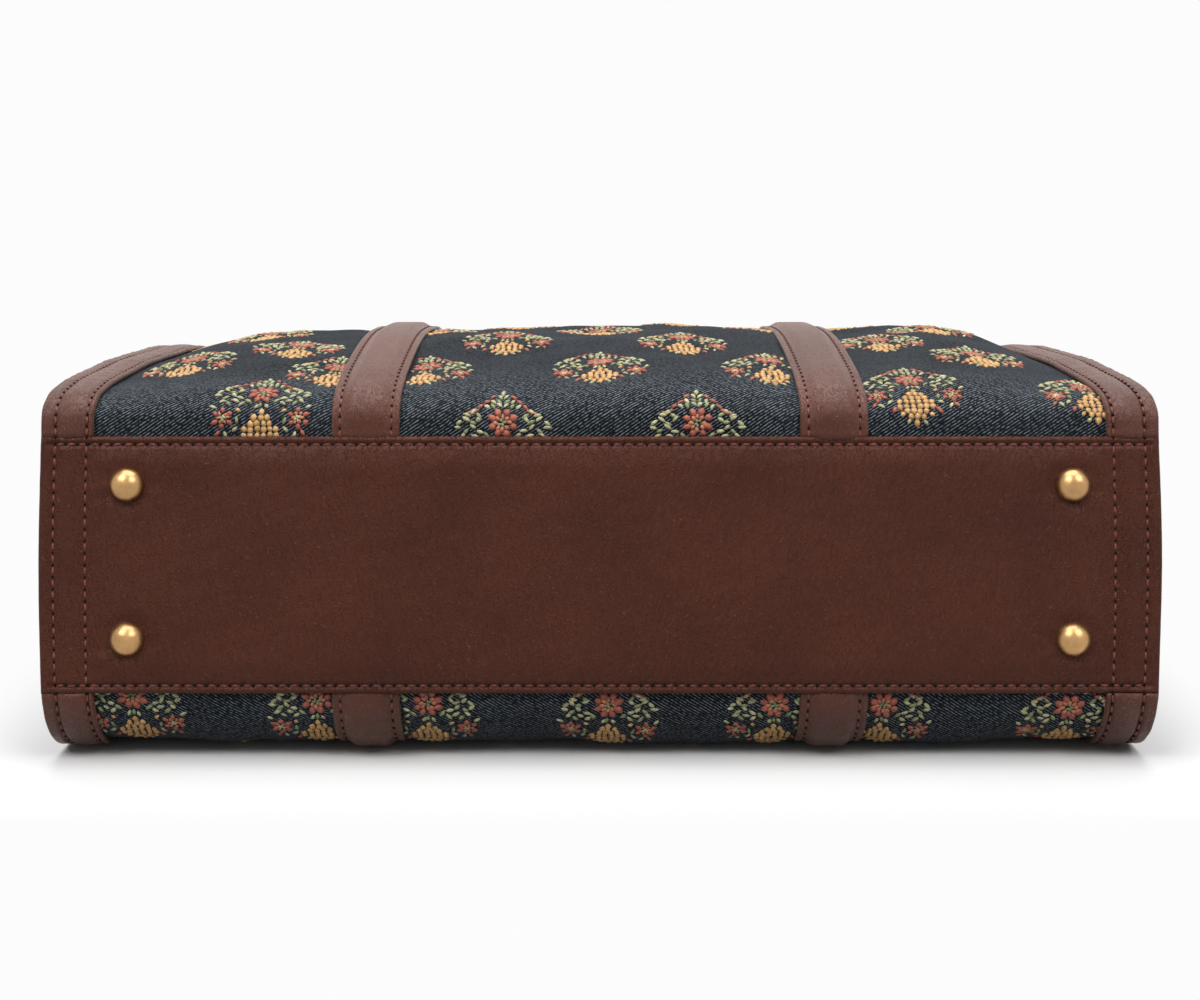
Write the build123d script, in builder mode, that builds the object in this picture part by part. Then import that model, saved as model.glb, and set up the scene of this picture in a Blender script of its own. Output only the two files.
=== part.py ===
from build123d import *
from math import cos, pi, radians, sin, sqrt, tan
import os

# A laptop tote bag lying on its back. +X runs along the bag, +Y from the leather bottom
# to the zipped top, +Z from the back face to the front face. Millimetres.

# Overall form
length = 400.0
height = 300.0
panel_depth = 92.0
panel_lean = 10.0
panel_low = 27.3
rim_high = 86.0
rim_slope = 25.0
bulge = 14.0

# Leather, cloth and the gaps between sewn layers
panel_thick = 3.0
panel_corner = 3.0
panel_round = 0.8
lip_width = 2.9
side_seams = (5.2, 16.4)
groove_wide = 1.2
groove_deep = 0.4
cloth_thick = 1.2
band_thick = 2.4
band_width = 18.7
gusset_thick = 1.6
flange_width = 6.0
binding_thick = 1.8
binding_width = 30.0
lining_thick = 0.8
board_thick = 2.5
board_room = 0.5
seam_allowance = 12.0
rim_past_binding = 10.0
back_rise_run = 12.0
ease = 0.2

# Handles
strap_width = 24.3
strap_thick = 3.2
strap_edge_thick = 1.6
strap_pad_width = 16.5
strap_ease = 0.3
crown_ease = 0.7
strap_spacing = 168.0
back_leg = 112.0
front_loop_radius = 62.0
front_reach = 112.0

# Feet
foot_diameter = 13.0
foot_high = 5.5
foot_spacing_x = 338.0
foot_spacing = 55.0
foot_from_top = 17.5
shank_diameter = 3.0
washer_diameter = 10.0
washer_thick = 0.8
clench_diameter = 5.0
clench_high = 1.0
clench_bevel = 0.8
fit = 0.1

# Zip
recess = 21.0
wing_thick = 1.6
wing_slot = 14.0
wing_turn = 10.0
wing_end = 26.0
tape_width = 15.0
tape_thick = 0.8
tape_past_wing = 8.0
tooth_pitch = 3.0
tooth_wide = 2.9
tooth_high = 2.6
tooth_gap = 0.35
tooth_body_share = 0.5
tooth_tip_share = 0.28
tooth_shoulder = 0.45
stop_length = 5.0
stop_body = 4.0
stop_room = 2.0
tab_length = 14.0
tab_thick = 1.4
tab_lap = 7.0
tab_past_tape = 1.5

# Slider and pull
slider_length = 13.0
slider_plate = 1.5
slider_room = 0.3
slider_rest_gap = 1.0
flange_wall = 1.2
nose_flare = 1.2
nose_bevel = 1.6
nose_at = 0.2
web_thick = 0.4
web_length = 3.0
bridge_half = 4.0
bridge_wide = 3.0
bridge_wall = 1.2
pull_length = 31.0
pull_width = 8.0
pull_thick = 1.4
pull_corner = 2.5
pull_hole = 3.6
pull_hole_in = 4.5
bar_room = 0.3
eye_wall = 1.4
eye_lap = 1.5

# Laptop pocket
pocket_room = 24.0
divider_thick = 6.0
divider_below_top = 88.0
divider_from_stack = 16.0
divider_corner = 2.0

os.makedirs("parts", exist_ok=True)

# Places worked out from the sizes
lean = radians(panel_lean)
half = length / 2
strap_x = strap_spacing / 2
back_loop_radius = strap_x
layer_out = strap_thick + strap_ease
foot_radius = foot_diameter / 2
dome_radius = (foot_radius**2 + foot_high**2) / (2 * foot_high)
foot_low = panel_depth - foot_from_top - foot_spacing
foot_front = foot_low * sin(lean) + (dome_radius - foot_high) * cos(lean) - dome_radius
handle_end = height + back_leg + back_loop_radius + strap_thick / 2
base_y = -(foot_front + handle_end) / 2


def section(x):
    """The upright plane across the bag at x, with its origin under the bottom panel's lower edge."""
    return Plane(origin=(x, base_y, 0), x_dir=(0, 1, 0), z_dir=(1, 0, 0))


def on_panel(inside, along):
    """A point given by its depth behind the bottom panel's face and its way up the panel."""
    return (
        inside * cos(lean) + along * sin(lean),
        panel_low - inside * sin(lean) + along * cos(lean),
    )


panel_plane = Plane(
    origin=(0, base_y, panel_low), x_dir=(1, 0, 0), z_dir=(0, -cos(lean), sin(lean))
)

# Outer lines of the two cloth faces, as shares of the way to the rim and heights over the
# bottom panel's edge for the front, and as plain distances for the back
front_rise = [(0.018, 7.5), (0.038, 11.3), (0.075, 13.6), (0.162, 15.4), (0.408, 17.0), (0.711, 9.5)]
back_drop = [(8.0, 13.0), (18.0, 5.5)]
back_flat_at = 34.0
crown_power = 6
top_u, top_v = on_panel(0, panel_depth)
low_start = on_panel(panel_thick, seam_allowance)
low_edge = on_panel(panel_thick, 0)
high_start = on_panel(panel_thick, panel_depth - seam_allowance)
high_edge = on_panel(panel_thick, panel_depth)
up_panel = Vector(sin(lean), cos(lean))
slope = radians(rim_slope)
rim_straight = binding_width + rim_past_binding
front_straight = (height - rim_straight * cos(slope), rim_high + rim_straight * sin(slope))
binding_out = ease + binding_thick
back_rim_high = layer_out + binding_out
back_rise_at = height - rim_straight
cloth_edge = half - band_width
front_bends = len(front_rise) + 2
back_bends = len(back_drop) + 2


def crown(x):
    """How far the stuffed front face stands up at x: 1 in the middle, 0 at the side bands."""
    return 1 - min(abs(x) / cloth_edge, 1) ** crown_power


def front_line(x, over_binding=0.0):
    """The front cloth's outer line at x, from behind the bottom panel to the rim."""
    run = height - top_u
    straight_share = (front_straight[0] - top_u) / run
    curve = [high_start, high_edge]
    for share, rise in front_rise:
        lift = bulge * crown(x) * sin(pi * share / straight_share)
        curve.append((top_u + share * run, top_v + rise + lift))
    for at, high in (front_straight, (height, rim_high)):
        curve.append((at + over_binding * sin(slope), high + over_binding * cos(slope)))
    return curve


def back_line(rim_rise=binding_out):
    """The back cloth's outer line, flat near the floor and raised by the binding at the rim."""
    flat = [(back_flat_at, layer_out), (back_rise_at - back_rise_run, layer_out)]
    return [low_start, low_edge] + back_drop + flat + [
        (back_rise_at, layer_out + rim_rise),
        (height, layer_out + rim_rise),
    ]


def shifted(points, distance):
    """A line moved to its left by distance, square to its own run at each point."""
    moved = []
    for index, point in enumerate(points):
        before = Vector(*points[max(index - 1, 0)])
        after = Vector(*points[min(index + 1, len(points) - 1)])
        if index == len(points) - 2:
            before = Vector(*points[-2])
        along = (after - before).normalized()
        moved.append((point[0] - along.Y * distance, point[1] + along.X * distance))
    return moved


def face_run(points, first, last, way):
    """Draws a face's line: straight up to point first, a smooth curve to point last, then straight."""
    end_way = Vector(*points[last + 1]) - Vector(*points[last])
    if first > 0:
        Polyline(*points[: first + 1])
    Spline(*points[first : last + 1], tangents=[way, end_way], tangent_scalars=[1, 1])
    Polyline(*points[last:])


def layer(points, first, last, way, near, far, x):
    """A sketch at x of the strip between a line's shifts by near and far."""
    inner = shifted(points, near)
    outer = shifted(points, far)
    with BuildSketch(section(x)) as strip:
        with BuildLine():
            face_run(inner, first, last, way)
            face_run(outer, first, last, way)
            Line(inner[0], outer[0])
            Line(inner[-1], outer[-1])
        make_face()
    return strip.sketch


def front_layer(x, near, far, over_binding=0.0, tucked=False):
    """A strip of the front face, from the bottom panel's edge or from behind it."""
    points = front_line(x, over_binding)
    if tucked:
        return layer(points, 1, front_bends, up_panel, near, far, x)
    start = on_panel(panel_thick, panel_depth + ease)
    return layer([start] + points[2:], 0, front_bends - 1, up_panel, near, far, x)


def back_layer(x, near, far, rim_rise=binding_out, tucked=False):
    """A strip of the back face, from the bottom panel's edge or from behind it."""
    points = back_line(rim_rise)
    if tucked:
        return layer(points, 1, back_bends, -up_panel, near, far, x)
    start = on_panel(panel_thick, -ease)
    return layer([start] + points[2:], 0, back_bends - 1, -up_panel, near, far, x)


def finish(part, name):
    """Names a finished piece and writes its file."""
    part.label = name
    export_step(part, f"parts/{name}.step")


# Bottom panel: rounded outer edges, grooves that its seams sink into, a hole for each shank
foot_places = [
    (side * foot_spacing_x / 2, foot_low + row * foot_spacing) for side in (-1, 1) for row in (0, 1)
]
with BuildPart() as bottom_panel:
    with BuildSketch(panel_plane):
        with Locations((0, panel_depth / 2)):
            RectangleRounded(length, panel_depth, panel_corner)
    extrude(amount=-panel_thick)
    outer_face = bottom_panel.faces().sort_by(Axis(panel_plane.origin, panel_plane.z_dir))[-1]
    fillet(outer_face.edges(), panel_round)
    with BuildSketch(panel_plane):
        for groove_up in (lip_width, panel_depth - lip_width):
            with Locations((0, groove_up)):
                Rectangle(length - 2 * side_seams[0], groove_wide)
        for seam in side_seams:
            with Locations((seam - half, panel_depth / 2), (half - seam, panel_depth / 2)):
                Rectangle(groove_wide, panel_depth - 2 * lip_width)
    extrude(amount=-groove_deep, mode=Mode.SUBTRACT)
    with BuildSketch(panel_plane):
        with Locations(foot_places):
            Circle(shank_diameter / 2 + fit)
    extrude(amount=-panel_thick, mode=Mode.SUBTRACT)
finish(bottom_panel.part, "bottom_panel")

# Stiffening board, between the cloth's two seam allowances
board_end = half - flange_width - gusset_thick - ease
with BuildPart() as base_board:
    with BuildSketch(panel_plane.offset(-panel_thick)):
        with Locations((0, panel_depth / 2)):
            Rectangle(2 * board_end, panel_depth - 2 * (seam_allowance + board_room))
        with Locations(foot_places):
            Circle(shank_diameter / 2 + fit, mode=Mode.SUBTRACT)
    extrude(amount=-board_thick)
finish(base_board.part, "base_board")

# Feet: a dome with a shank that is clenched over its washer
stack = panel_thick + board_thick + washer_thick
foot_names = ["foot_left_low", "foot_left_high", "foot_right_low", "foot_right_high"]
for foot_name, (foot_x, foot_up) in zip(foot_names, foot_places):
    axis_plane = Plane(
        origin=panel_plane.from_local_coords((foot_x, foot_up, 0)),
        x_dir=(1, 0, 0),
        z_dir=panel_plane.y_dir,
    )
    with BuildPart() as foot:
        with BuildSketch(axis_plane):
            with BuildLine():
                Polyline(
                    (0, -foot_high),
                    (0, stack + clench_high),
                    (clench_diameter / 2 - clench_bevel, stack + clench_high),
                    (clench_diameter / 2, stack),
                    (shank_diameter / 2, stack),
                    (shank_diameter / 2, 0),
                    (foot_radius, 0),
                )
                RadiusArc((foot_radius, 0), (0, -foot_high), dome_radius)
            make_face()
        revolve(axis=Axis(axis_plane.origin, panel_plane.z_dir))
    finish(foot.part, foot_name)

with BuildPart() as foot_washers:
    with BuildSketch(panel_plane.offset(-panel_thick - board_thick)):
        with Locations(foot_places):
            Circle(washer_diameter / 2)
            Circle(shank_diameter / 2 + fit, mode=Mode.SUBTRACT)
    extrude(amount=-washer_thick)
finish(foot_washers.part, "foot_washers")


# Cloth faces: the front is lofted over its crown, the back lies flat
crown_stations = [-1, -0.8, -0.5, 0, 0.5, 0.8, 1]
with BuildPart() as front_panel:
    loft([front_layer(at * cloth_edge, -cloth_thick, 0, tucked=True) for at in crown_stations])
    for side in (-1, 1):
        edge_cut = front_layer(side * cloth_edge, -cloth_thick, 0, tucked=True)
        extrude(edge_cut, amount=side * band_width)
finish(front_panel.part, "front_panel")

with BuildPart() as back_panel:
    extrude(back_layer(-half, 0, cloth_thick, tucked=True), amount=length)
finish(back_panel.part, "back_panel")

# Side bands on the two faces
for side, side_name in ((-1, "left"), (1, "right")):
    with BuildPart() as front_band:
        front_cut = front_layer(side * cloth_edge, ease, ease + band_thick)
        extrude(front_cut, amount=side * band_width)
    finish(front_band.part, f"front_band_{side_name}")
    with BuildPart() as back_band:
        back_cut = back_layer(side * cloth_edge, -ease - band_thick, -ease)
        extrude(back_cut, amount=side * band_width)
    finish(back_band.part, f"back_band_{side_name}")


def inside_outline(inset, panel_inset, rim_at):
    """Draws the bag's inside section, kept clear of the faces and the bottom."""
    front = shifted(front_line(cloth_edge), -inset)
    back = shifted(back_line(), inset)
    front[1] = on_panel(panel_inset, panel_depth - panel_inset / 3)
    back[1] = on_panel(panel_inset, panel_inset / 3)
    front[-1] = (rim_at, front[-1][1] + (front[-1][0] - rim_at) * tan(slope))
    back[-1] = (rim_at, back[-1][1])
    face_run(front[1:], 0, front_bends - 1, up_panel)
    face_run(back[1:], 0, back_bends - 1, -up_panel)
    Line(front[1], back[1])
    Line(front[-1], back[-1])


# Side gussets: a wall with seam flanges turned out under the bands
gusset_inset = cloth_thick + ease
for side, side_name in ((-1, "left"), (1, "right")):
    wall_x = side * (half - flange_width)
    with BuildPart() as gusset:
        with BuildSketch(section(side * half)):
            with BuildLine():
                inside_outline(gusset_inset, panel_thick + gusset_inset, height)
            make_face()
        extrude(amount=-side * (flange_width + gusset_thick))
        with BuildSketch(section(side * half)):
            with BuildLine():
                inside_outline(
                    gusset_inset + gusset_thick,
                    panel_thick + gusset_inset + gusset_thick,
                    height - gusset_thick,
                )
            make_face()
        extrude(amount=-side * flange_width, mode=Mode.SUBTRACT)
    finish(gusset.part, f"gusset_{side_name}")

# Rim bindings, folded over the straight top of each face
binding_half = cloth_edge - ease
cap = binding_thick + ease
front_rim_plane = Plane(
    origin=(-binding_half, base_y + height, rim_high),
    x_dir=(0, cos(slope), -sin(slope)),
    z_dir=(1, 0, 0),
)
back_rim_plane = Plane(
    origin=(-binding_half, base_y + height, back_rim_high), x_dir=(0, 1, 0), z_dir=(1, 0, 0)
)
fold_high = cloth_thick + 2 * (ease + binding_thick)
for rim_plane, into, rim_name in (
    (front_rim_plane, -cloth_thick / 2, "rim_binding_front"),
    (back_rim_plane, cloth_thick / 2, "rim_binding_back"),
):
    with BuildPart() as rim_binding:
        with BuildSketch(rim_plane):
            with Locations(((cap - binding_width) / 2, into)):
                Rectangle(binding_width + cap, fold_high)
            with Locations((ease - (binding_width + ease + 1) / 2, into)):
                Rectangle(binding_width + ease + 1, cloth_thick + 2 * ease, mode=Mode.SUBTRACT)
        extrude(amount=2 * binding_half)
    finish(rim_binding.part, rim_name)

# Zip wings: each turns in from its face and ends along the slot
zip_y = height - recess
inner_layer = cloth_thick + 2 * ease + binding_thick + ease
wing_half = half - wing_end
front_wing_v = rim_high + recess * tan(slope) - inner_layer / cos(slope)
back_wing_v = back_rim_high + inner_layer
zip_v = (front_wing_v + back_wing_v) / 2
turn_drop = wing_turn * tan(slope)
with BuildPart() as zip_wing_front:
    with BuildSketch(section(-wing_half)):
        with BuildLine():
            Polyline(
                (zip_y, zip_v + wing_slot / 2),
                (zip_y, front_wing_v),
                (zip_y + wing_turn, front_wing_v - turn_drop),
                (zip_y + wing_turn, front_wing_v - turn_drop - wing_thick / cos(slope)),
                (zip_y + wing_thick, front_wing_v - wing_thick * (tan(slope) + 1 / cos(slope))),
                (zip_y + wing_thick, zip_v + wing_slot / 2),
                close=True,
            )
        make_face()
    extrude(amount=2 * wing_half)
finish(zip_wing_front.part, "zip_wing_front")

with BuildPart() as zip_wing_back:
    with BuildSketch(section(-wing_half)):
        with BuildLine():
            Polyline(
                (zip_y, zip_v - wing_slot / 2),
                (zip_y, back_wing_v),
                (zip_y + wing_turn, back_wing_v),
                (zip_y + wing_turn, back_wing_v + wing_thick),
                (zip_y + wing_thick, back_wing_v + wing_thick),
                (zip_y + wing_thick, zip_v - wing_slot / 2),
                close=True,
            )
        make_face()
    extrude(amount=2 * wing_half)
finish(zip_wing_back.part, "zip_wing_back")

# Zip tapes, under the wings
tape_top = zip_y - ease
tape_mid = tape_top - tape_thick / 2
tape_half = wing_half + tape_past_wing
tooth_base = tooth_gap + tooth_wide
for side, tape_name in ((1, "zip_tape_front"), (-1, "zip_tape_back")):
    with BuildPart() as zip_tape:
        with BuildSketch(section(-tape_half)):
            with Locations((tape_mid, zip_v + side * (tooth_base + tape_width / 2))):
                Rectangle(tape_thick, tape_width)
        extrude(amount=2 * tape_half)
    finish(zip_tape.part, tape_name)

# Zip teeth: two rows that step past each other, with a narrow way between them
chain_half = wing_half - stop_length - stop_room
teeth_count = int(2 * chain_half / tooth_pitch)
tooth_body = tooth_pitch * tooth_body_share
tooth_tip = tooth_pitch * tooth_tip_share
chain_plane = Plane(
    origin=(0, base_y + tape_mid - tooth_high / 2, zip_v), x_dir=(1, 0, 0), z_dir=(0, 1, 0)
)
chain_start = -(teeth_count - 1) * tooth_pitch / 2
for side, row_name in ((1, "zip_teeth_front"), (-1, "zip_teeth_back")):
    row_shift = side * tooth_pitch / 4
    with BuildPart() as zip_teeth:
        with BuildSketch(chain_plane):
            for number in range(teeth_count):
                at = chain_start + number * tooth_pitch + row_shift
                with BuildLine():
                    Polyline(
                        (at - tooth_body / 2, side * tooth_base),
                        (at - tooth_body / 2, side * tooth_base * tooth_shoulder),
                        (at - tooth_tip / 2, side * tooth_gap),
                        (at + tooth_tip / 2, side * tooth_gap),
                        (at + tooth_body / 2, side * tooth_base * tooth_shoulder),
                        (at + tooth_body / 2, side * tooth_base),
                        close=True,
                    )
                make_face()
        extrude(amount=tooth_high)
    finish(zip_teeth.part, row_name)

# Zip stops: one on each tape at the closed end, one across both at the open end
stop_mid = chain_half + stop_length / 2 + ease
with BuildPart() as zip_stops:
    with BuildSketch(chain_plane):
        with Locations((-stop_mid, 0)):
            Rectangle(stop_body, 2 * tooth_base)
        with Locations(*[(stop_mid, side * (tooth_gap + tooth_wide / 2)) for side in (-1, 1)]):
            Rectangle(stop_body, tooth_wide)
    extrude(amount=tooth_high)
finish(zip_stops.part, "zip_stops")

# Leather tabs folded round the tapes' ends, past the wings
tab_inner = tape_half - tab_lap
tab_wide = 2 * (tooth_base + tape_width + tab_past_tape)
for side, tab_name in ((-1, "zip_end_tab_left"), (1, "zip_end_tab_right")):
    tab_plane = Plane(
        origin=(0, base_y + tape_mid, zip_v - tab_wide / 2), x_dir=(1, 0, 0), z_dir=(0, 0, 1)
    )
    with BuildPart() as zip_end_tab:
        with BuildSketch(tab_plane):
            with Locations((side * (tab_inner + tab_length / 2), 0)):
                Rectangle(tab_length, tape_thick + 2 * (ease + tab_thick))
            with Locations((side * (tab_inner + (tab_lap + ease) / 2), 0)):
                Rectangle(tab_lap + ease, tape_thick + 2 * ease, mode=Mode.SUBTRACT)
        extrude(amount=tab_wide)
    finish(zip_end_tab.part, tab_name)

# Slider: two plates joined by a thin web that runs between the rows, with side flanges
# that leave slots for the tapes, and a bridge for the pull. It rests at the closed end.
slider_x = chain_half - slider_length / 2 - slider_rest_gap
channel_half = tooth_base + slider_room
nose_half = channel_half + flange_wall + nose_flare
tail_half = channel_half + flange_wall
plate_gap = tooth_high / 2 + slider_room
plate_out = plate_gap + slider_plate
tape_slot = tape_thick / 2 + slider_room
bridge_room = pull_thick + 2 * bar_room
zip_centre = Vector(slider_x, base_y + tape_mid, zip_v)


def slider_plane(out):
    """The plane along the zip at a distance out from the middle of the tape."""
    return Plane(origin=zip_centre + Vector(0, out, 0), x_dir=(0, 0, 1), z_dir=(0, 1, 0))


with BuildPart() as zip_slider:
    for low, thick, slot_low in (
        (plate_gap, slider_plate, tape_slot),
        (-plate_out, slider_plate, -plate_gap),
    ):
        with BuildSketch(slider_plane(low)):
            with BuildLine():
                Polyline(
                    (-tail_half, -slider_length / 2),
                    (tail_half, -slider_length / 2),
                    (nose_half, slider_length * nose_at),
                    (nose_half - nose_bevel, slider_length / 2),
                    (nose_bevel - nose_half, slider_length / 2),
                    (-nose_half, slider_length * nose_at),
                    close=True,
                )
            make_face()
        extrude(amount=thick)
        with BuildSketch(slider_plane(slot_low)):
            for edge in (-1, 1):
                with BuildLine():
                    Polyline(
                        (edge * channel_half, -slider_length / 2),
                        (edge * tail_half, -slider_length / 2),
                        (edge * nose_half, slider_length * nose_at),
                        (edge * channel_half, slider_length * nose_at),
                        close=True,
                    )
                make_face()
        extrude(amount=plate_gap - tape_slot)
    with BuildSketch(slider_plane(-plate_gap)):
        with Locations((0, slider_length / 2 - web_length / 2)):
            Rectangle(web_thick, web_length)
    extrude(amount=2 * plate_gap)
    bridge_plane = Plane(
        origin=zip_centre + Vector(0, plate_out, -bridge_wide / 2), x_dir=(1, 0, 0), z_dir=(0, 0, 1)
    )
    with BuildSketch(bridge_plane):
        with Locations((0, (bridge_room + bridge_wall) / 2)):
            Rectangle(2 * bridge_half, bridge_room + bridge_wall)
        with Locations((0, bridge_room / 2)):
            Rectangle(2 * (bridge_half - bridge_wall), bridge_room, mode=Mode.SUBTRACT)
    extrude(amount=bridge_wide)
finish(zip_slider.part, "zip_slider")

# Pull: a tab with an eye round the bridge, whose bar turns inside the bridge
bar_out = plate_out + bar_room + pull_thick / 2
eye_half = bridge_wide / 2 + bar_room
eye_length = sqrt(bridge_half**2 + (bridge_room + bridge_wall) ** 2) + bar_room
with BuildPart() as zip_pull:
    with BuildSketch(slider_plane(bar_out - pull_thick / 2)):
        with Locations((0, -(eye_length + eye_lap) / 2)):
            Rectangle(2 * (eye_half + eye_wall), eye_length + eye_lap)
        with Locations((0, -eye_length / 2)):
            Rectangle(2 * eye_half, eye_length, mode=Mode.SUBTRACT)
        with Locations((0, -(eye_length + pull_length) / 2)):
            RectangleRounded(pull_width, pull_length - eye_length, pull_corner)
        with Locations((0, pull_hole_in - pull_length)):
            Circle(pull_hole / 2, mode=Mode.SUBTRACT)
    extrude(amount=pull_thick)
    with BuildSketch(Plane(origin=zip_centre + Vector(0, bar_out, -eye_half - eye_wall))):
        Circle(pull_thick / 2)
    extrude(amount=2 * (eye_half + eye_wall))
finish(zip_pull.part, "zip_pull")


# Handles: padded straps sewn up each face, with a loop between them that leaves at the rim
# and turns on edge
leg_turns = 6


def strap_cut(plane, pad_side):
    """The strap's cut: flat sewn edges with a padded middle raised to one side."""
    edge_out = pad_side * (strap_edge_thick - strap_thick) / 2
    with BuildSketch(plane) as cut:
        with Locations((0, edge_out)):
            Rectangle(strap_width, strap_edge_thick)
        Rectangle(strap_pad_width, strap_thick)
    return cut.sketch


def twisting_cuts(path, pad_side):
    """Cuts of the strap along a path while it turns from flat to standing on its edge."""
    cuts = []
    for step in range(leg_turns + 1):
        share = step / leg_turns
        along = path.tangent_at(share)
        flat = (Vector(1, 0, 0) - along * along.dot(Vector(1, 0, 0))).normalized()
        width_way = flat.rotate(Axis((0, 0, 0), along), -90 * (3 * share**2 - 2 * share**3))
        cuts.append(strap_cut(Plane(path.position_at(share), x_dir=width_way, z_dir=along), pad_side))
    return cuts


edge_high = strap_width / 2
front_near = strap_ease + crown_ease
rim_out = binding_out + front_near + strap_thick / 2
front_leave = Vector(
    -strap_x,
    base_y + height + sin(slope) * rim_out,
    rim_high + cos(slope) * rim_out,
)
front_way = Vector(0, cos(slope), -sin(slope))
front_land = Vector(-front_loop_radius, base_y + height + front_reach, edge_high)
back_leave = Vector(-strap_x, base_y + height, strap_thick / 2)
back_land = Vector(-back_loop_radius, base_y + height + back_leg, edge_high)


def front_strip(x, low, high):
    """A strip of the front strap at x, between two heights over its underside."""
    return front_layer(x, front_near + low, front_near + high, over_binding=binding_out)


def back_strip(x, low, high):
    """A strip of the back strap at x, between two heights over its underside."""
    return back_layer(x, -strap_ease - high, -strap_ease - low, rim_rise=0.0)


for face_name, strip, leave, way, land, pad_side in (
    ("front", front_strip, front_leave, front_way, front_land, -1),
    ("back", back_strip, back_leave, Vector(0, 1, 0), back_land, 1),
):
    for side, side_name in ((-1, "left"), (1, "right")):
        with BuildPart() as sewn_strap:
            flat_cut = strip(side * (strap_x - strap_width / 2), 0, strap_edge_thick)
            extrude(flat_cut, amount=side * strap_width)
            pad_cut = strip(
                side * (strap_x - strap_pad_width / 2), strap_edge_thick / 2, strap_thick
            )
            extrude(pad_cut, amount=side * strap_pad_width)
        finish(sewn_strap.part, f"strap_{face_name}_{side_name}")
    with BuildLine() as leg:
        Spline(leave + way * ease, land, tangents=[way, Vector(0, 1, 0)])
    with BuildPart() as handle:
        loft(twisting_cuts(leg.edge(), pad_side))
        add(strap_cut(Plane(origin=land, x_dir=(0, 0, 1), z_dir=(0, 1, 0)), pad_side))
        revolve(axis=Axis((0, land.Y, land.Z), (0, 0, -1)), revolution_arc=90)
        mirror(about=Plane.YZ)
    finish(handle.part, f"handle_{face_name}")

# Lining: a thin box of cloth, open at the zip
lining_inset = inner_layer + ease
lining_half = board_end - ease
lining_end = zip_y - 2 * ease - tape_thick - tooth_high
lining_from_panel = stack + clench_high + 2 * ease
with BuildPart() as lining:
    with BuildSketch(section(-lining_half)):
        with BuildLine():
            inside_outline(lining_inset, lining_from_panel, lining_end)
        make_face()
    extrude(amount=2 * lining_half)
    with BuildSketch(section(lining_thick - lining_half)):
        with BuildLine():
            inside_outline(
                lining_inset + lining_thick, lining_from_panel + lining_thick, lining_end + ease
            )
        make_face()
    extrude(amount=2 * (lining_half - lining_thick), mode=Mode.SUBTRACT)
finish(lining.part, "lining")

# Padded divider of the laptop pocket
divider_low = layer_out + lining_inset + lining_thick + pocket_room
divider_start = on_panel(stack, 0)[0] + divider_from_stack
divider_high = height - divider_below_top
with BuildPart() as laptop_divider:
    with BuildSketch(section(-lining_half + lining_thick)):
        with Locations((divider_start + divider_high / 2, divider_low + divider_thick / 2)):
            RectangleRounded(divider_high, divider_thick, divider_corner)
    extrude(amount=2 * (lining_half - lining_thick))
finish(laptop_divider.part, "laptop_divider")
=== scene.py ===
from math import cos, pi, radians, sin

import bpy
import numpy as np
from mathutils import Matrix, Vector


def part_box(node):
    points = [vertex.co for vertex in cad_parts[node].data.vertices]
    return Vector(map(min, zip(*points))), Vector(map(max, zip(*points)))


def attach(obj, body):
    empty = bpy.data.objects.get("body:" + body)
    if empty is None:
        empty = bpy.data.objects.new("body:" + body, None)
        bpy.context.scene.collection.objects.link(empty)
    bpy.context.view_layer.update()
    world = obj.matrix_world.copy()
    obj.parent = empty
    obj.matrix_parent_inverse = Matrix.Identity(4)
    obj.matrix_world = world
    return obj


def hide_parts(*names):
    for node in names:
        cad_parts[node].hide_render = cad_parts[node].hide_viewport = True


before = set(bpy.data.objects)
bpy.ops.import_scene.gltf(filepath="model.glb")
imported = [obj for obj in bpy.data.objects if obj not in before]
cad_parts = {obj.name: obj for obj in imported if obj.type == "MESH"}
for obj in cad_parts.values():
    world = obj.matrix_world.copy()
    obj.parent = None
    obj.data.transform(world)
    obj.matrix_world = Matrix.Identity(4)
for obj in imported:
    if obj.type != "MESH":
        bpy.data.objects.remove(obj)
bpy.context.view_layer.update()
rng = np.random.default_rng(7)

# Sizes in millimetres. Points are (x, u, v): x along the bag, u from the bottom panel's
# lower edge towards the zipped top, v up from the floor. They repeat the CAD's own sizes.
LENGTH = 400.0
HALF = LENGTH / 2
HEIGHT = 300.0
PANEL_DEPTH = 92.0
PANEL_LOW = 27.3
LEAN = radians(10.0)
PANEL_THICK = 3.0
CLOTH_EDGE = HALF - 18.7
RIM_HIGH = 86.0
RIM_SLOPE = radians(25.0)
RIM_STRAIGHT = 40.0
BULGE = 14.0
CROWN_POWER = 8
BACK_OUT = 3.5
BINDING_OUT = 2.0
BINDING_WIDTH = 30.0
STRAP_X = 84.0
STRAP_WIDTH = 24.3
FRONT_LOOP_RADIUS = 62.0
LEG_REACH = 112.0
EDGE_STITCH = 2.9
STITCH_PITCH = 4.2
SIDE_STITCHES = (5.2, 16.4)
FOOT_X = 169.0
FOOT_UP = (19.5, 74.5)
FOOT_RADIUS = 6.5
FOOT_HIGH = 5.5
TUCK = 10.0
SEAM_MIDDLE = sum(SIDE_STITCHES) / 2
PILLOW_REACH = 5.4
MM = 0.001

base_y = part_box("bottom_panel")[0].y
BODY = "bag"


def placed(points):
    """Points in the bag's millimetres, turned into metres in the shared frame."""
    points = np.asarray(points, float) * MM
    points[..., 1] += base_y
    return points


def unit(vectors):
    """Vectors of length 1."""
    return vectors / np.maximum(np.linalg.norm(vectors, axis=-1, keepdims=True), 1e-9)


def same_shape(x, s):
    """Two places as arrays of one shape."""
    return np.broadcast_arrays(np.asarray(x, float), np.asarray(s, float))


def smooth_step(t):
    """0 below 0, 1 above 1, and a smooth rise between."""
    t = np.clip(t, 0.0, 1.0)
    return t * t * (3 - 2 * t)


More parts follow.
